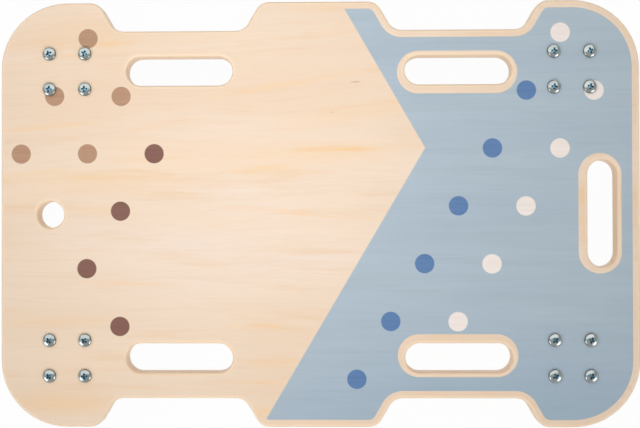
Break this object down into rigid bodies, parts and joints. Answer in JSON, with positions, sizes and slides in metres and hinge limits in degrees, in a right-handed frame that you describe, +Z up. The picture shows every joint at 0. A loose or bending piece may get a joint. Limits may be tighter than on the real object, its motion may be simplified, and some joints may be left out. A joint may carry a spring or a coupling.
{
  "type": "roller board",
  "caption": "Rectangular plywood roller board with hand slots, sloped edge notches and a rope hole, screwed to swivel castors, for sitting, lying or kneeling on while rolling.",
  "frame": {"origin": "on the floor, under the middle of the deck", "axes": "+X along the deck, from the rope hole to the end hand slot; +Y across it; +Z up"},
  "size_m": [0.6, 0.4, 0.092],
  "materials": {
    "plywood": "clear matt lacquer over pale birch-like face veneer, printed grey-blue field and dots on the top",
    "screw_zinc": "bright blue-white zinc plate",
    "nut_zinc": "bright zinc plate",
    "plate_steel": "zinc-plated pressed sheet",
    "pin_steel": "zinc-plated rivet",
    "fork_steel": "zinc-plated pressed sheet",
    "axle_steel": "zinc-plated rivet",
    "hub_plastic": "moulded light grey",
    "tyre_rubber": "matt grey non-marking rubber"
  },
  "bodies": {
    "board": {"deck": "plywood", "left_front_screw_1": "screw_zinc", "left_front_screw_2": "screw_zinc", "left_front_screw_3": "screw_zinc", "left_front_screw_4": "screw_zinc", "left_front_nut_1": "nut_zinc", "left_front_nut_2": "nut_zinc", "left_front_nut_3": "nut_zinc", "left_front_nut_4": "nut_zinc", "left_front_top_plate": "plate_steel", "left_front_kingpin": "pin_steel", "left_back_screw_1": "screw_zinc", "left_back_screw_2": "screw_zinc", "left_back_screw_3": "screw_zinc", "left_back_screw_4": "screw_zinc", "left_back_nut_1": "nut_zinc", "left_back_nut_2": "nut_zinc", "left_back_nut_3": "nut_zinc", "left_back_nut_4": "nut_zinc", "left_back_top_plate": "plate_steel", "left_back_kingpin": "pin_steel", "right_front_screw_1": "screw_zinc", "right_front_screw_2": "screw_zinc", "right_front_screw_3": "screw_zinc", "right_front_screw_4": "screw_zinc", "right_front_nut_1": "nut_zinc", "right_front_nut_2": "nut_zinc", "right_front_nut_3": "nut_zinc", "right_front_nut_4": "nut_zinc", "right_front_top_plate": "plate_steel", "right_front_kingpin": "pin_steel", "right_back_screw_1": "screw_zinc", "right_back_screw_2": "screw_zinc", "right_back_screw_3": "screw_zinc", "right_back_screw_4": "screw_zinc", "right_back_nut_1": "nut_zinc", "right_back_nut_2": "nut_zinc", "right_back_nut_3": "nut_zinc", "right_back_nut_4": "nut_zinc", "right_back_top_plate": "plate_steel", "right_back_kingpin": "pin_steel"},
    "left_front_castor": {"left_front_fork": "fork_steel", "left_front_axle": "axle_steel"},
    "left_front_wheel": {"left_front_wheel_hub": "hub_plastic", "left_front_tyre": "tyre_rubber"},
    "left_back_castor": {"left_back_fork": "fork_steel", "left_back_axle": "axle_steel"},
    "left_back_wheel": {"left_back_wheel_hub": "hub_plastic", "left_back_tyre": "tyre_rubber"},
    "right_front_castor": {"right_front_fork": "fork_steel", "right_front_axle": "axle_steel"},
    "right_front_wheel": {"right_front_wheel_hub": "hub_plastic", "right_front_tyre": "tyre_rubber"},
    "right_back_castor": {"right_back_fork": "fork_steel", "right_back_axle": "axle_steel"},
    "right_back_wheel": {"right_back_wheel_hub": "hub_plastic", "right_back_tyre": "tyre_rubber"}
  },
  "joints": [
    {"name": "left_front_swivel", "type": "hinge", "parent": "board", "child": "left_front_castor", "pos_m": [-0.237, -0.135, 0.066], "axis": [0, 0, 1], "continuous": true},
    {"name": "left_front_roll", "type": "hinge", "parent": "left_front_castor", "child": "left_front_wheel", "pos_m": [-0.237, -0.155, 0.025], "axis": [1, 0, 0], "continuous": true},
    {"name": "left_back_swivel", "type": "hinge", "parent": "board", "child": "left_back_castor", "pos_m": [-0.237, 0.135, 0.066], "axis": [0, 0, 1], "continuous": true},
    {"name": "left_back_roll", "type": "hinge", "parent": "left_back_castor", "child": "left_back_wheel", "pos_m": [-0.237, 0.115, 0.025], "axis": [1, 0, 0], "continuous": true},
    {"name": "right_front_swivel", "type": "hinge", "parent": "board", "child": "right_front_castor", "pos_m": [0.237, -0.135, 0.066], "axis": [0, 0, 1], "continuous": true},
    {"name": "right_front_roll", "type": "hinge", "parent": "right_front_castor", "child": "right_front_wheel", "pos_m": [0.237, -0.155, 0.025], "axis": [1, 0, 0], "continuous": true},
    {"name": "right_back_swivel", "type": "hinge", "parent": "board", "child": "right_back_castor", "pos_m": [0.237, 0.135, 0.066], "axis": [0, 0, 1], "continuous": true},
    {"name": "right_back_roll", "type": "hinge", "parent": "right_back_castor", "child": "right_back_wheel", "pos_m": [0.237, 0.115, 0.025], "axis": [1, 0, 0], "continuous": true}
  ]
}
